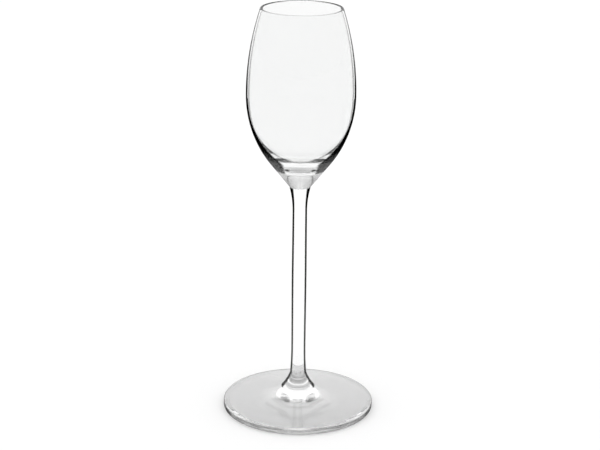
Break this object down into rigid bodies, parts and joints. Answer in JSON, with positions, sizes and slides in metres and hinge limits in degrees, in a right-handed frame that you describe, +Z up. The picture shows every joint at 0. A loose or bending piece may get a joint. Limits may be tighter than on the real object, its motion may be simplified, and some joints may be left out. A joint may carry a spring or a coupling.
{
  "type": "sherry glass",
  "caption": "Clear stemmed sherry glass with a tulip bowl over a thick solid base, a slim drawn stem and a round sloping foot, for serving and nosing fortified wine.",
  "frame": {"origin": "middle of the ring that the foot stands on, in the plane of the table", "axes": "+Z up along the stem, from the foot to the rim; X and Y are free, because the glass is round"},
  "size_m": [0.0756, 0.0756, 0.205],
  "materials": {
    "bowl_glass": "clear colourless blown glass, fire-polished rim",
    "stem_glass": "clear colourless drawn glass, polished",
    "foot_glass": "clear colourless pressed glass, fire-polished"
  },
  "bodies": {
    "root": {"bowl": "bowl_glass", "stem": "stem_glass", "foot": "foot_glass"}
  },
  "joints": []
}
